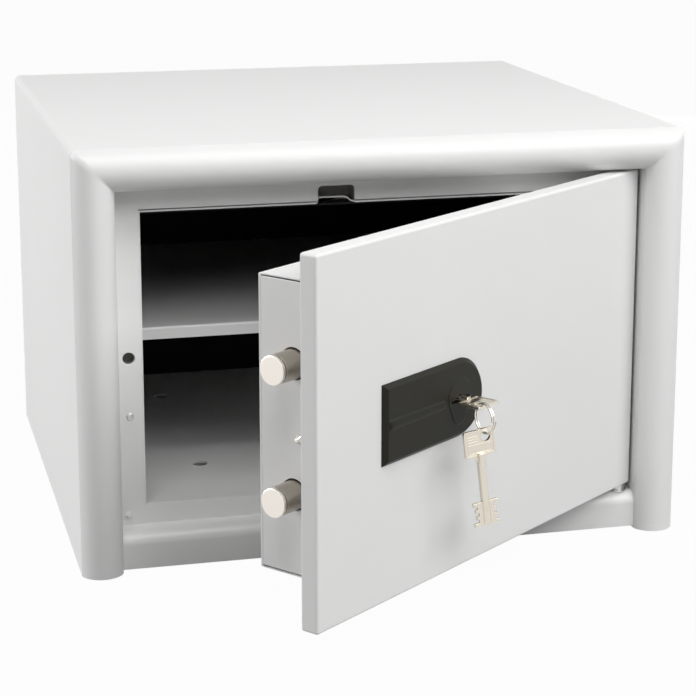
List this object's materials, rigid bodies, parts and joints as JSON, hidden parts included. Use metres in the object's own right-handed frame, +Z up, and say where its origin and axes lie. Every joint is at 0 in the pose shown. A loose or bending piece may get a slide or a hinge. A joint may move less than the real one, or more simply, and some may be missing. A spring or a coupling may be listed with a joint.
{
  "type": "furniture safe",
  "caption": "Low box-shaped furniture safe with a rounded front frame, a hinged door standing open, round bolts, a key lock with its key in place, and a lift-out shelf.",
  "frame": {"origin": "centre of the cabinet's footprint on the floor", "axes": "+Z up, -Y to the front where the door is, +X to the hinge side, to the right seen from the front"},
  "size_m": [0.468, 0.6673, 0.32],
  "materials": {
    "light_coat": "fine-textured satin powder coat, light grey",
    "dark_coat": "matt dark grey paint",
    "fire_board": "raw mineral board, matt",
    "steel": "zinc-plated steel",
    "nickel": "satin nickel plate",
    "lever_brass": "stamped sheet",
    "black_plastic": "fine matt moulded plastic",
    "plug_plastic": "smooth light grey plastic"
  },
  "bodies": {
    "cabinet": {"outer_shell": "light_coat", "back_panel": "light_coat", "base_plate": "light_coat", "left_post": "light_coat", "right_post": "light_coat", "top_rail": "light_coat", "bottom_rail": "light_coat", "jamb_frame": "light_coat", "jamb_screw": "steel", "jamb_plugs": "plug_plastic", "liner_floor": "light_coat", "liner_roof": "dark_coat", "liner_right": "dark_coat", "liner_back": "dark_coat", "board_right": "fire_board", "liner_left": "dark_coat", "board_left": "fire_board", "board_top": "fire_board", "board_base": "fire_board", "board_back": "fire_board", "shelf": "light_coat", "shelf_rails": "light_coat", "hinge_bushes": "steel", "hinge_washer": "steel"},
    "door": {"door_panel": "light_coat", "door_board": "fire_board", "door_backing": "light_coat", "hinge_blocks": "steel", "hinge_pins": "steel", "lock_box": "light_coat", "box_cover": "light_coat", "cover_screws": "steel", "bolt_guides": "steel", "catch_pin": "steel", "drill_plate": "steel", "lock_case": "steel", "lock_cover": "steel", "case_screws": "steel", "lever_pivot": "steel", "levers": "lever_brass", "lever_springs": "steel", "escutcheon": "black_plastic", "escutcheon_screws": "steel"},
    "boltwork": {"upper_bolt": "nickel", "lower_bolt": "nickel", "bolt_bar": "steel", "bolt_screws": "steel"},
    "key": {"lock_key": "nickel", "lock_rotor": "steel"},
    "ring": {"key_ring": "nickel"},
    "spare": {"spare_key": "nickel"}
  },
  "joints": [
    {"name": "door_hinge", "type": "hinge", "parent": "cabinet", "child": "door", "pos_m": [0.193, -0.1995, 0], "axis": [0, 0, 1], "range_deg": [-38.1, 51.9]},
    {"name": "bolt_throw", "type": "slide", "parent": "door", "child": "boltwork", "axis": [0.7869, 0.617, 0], "range_m": [0, 0.02]},
    {"name": "key_turn", "type": "hinge", "parent": "door", "child": "key", "pos_m": [0.01058, -0.35143, 0.16], "axis": [-0.617, 0.7869, 0], "range_deg": [0, 180]},
    {"name": "ring_swing", "type": "hinge", "parent": "key", "child": "ring", "pos_m": [0.02093, -0.37241, 0.16], "axis": [0.9505, 0.3107, 0], "range_deg": [-12, 8]},
    {"name": "spare_key_swing", "type": "hinge", "parent": "ring", "child": "spare", "pos_m": [0.02326, -0.37954, 0.14215], "axis": [0.3107, -0.9505, 0], "range_deg": [-25, 25]}
  ],
  "couplings": [
    {"joint": "key_turn", "follows": "bolt_throw", "rad_per_m": 157.07}
  ]
}
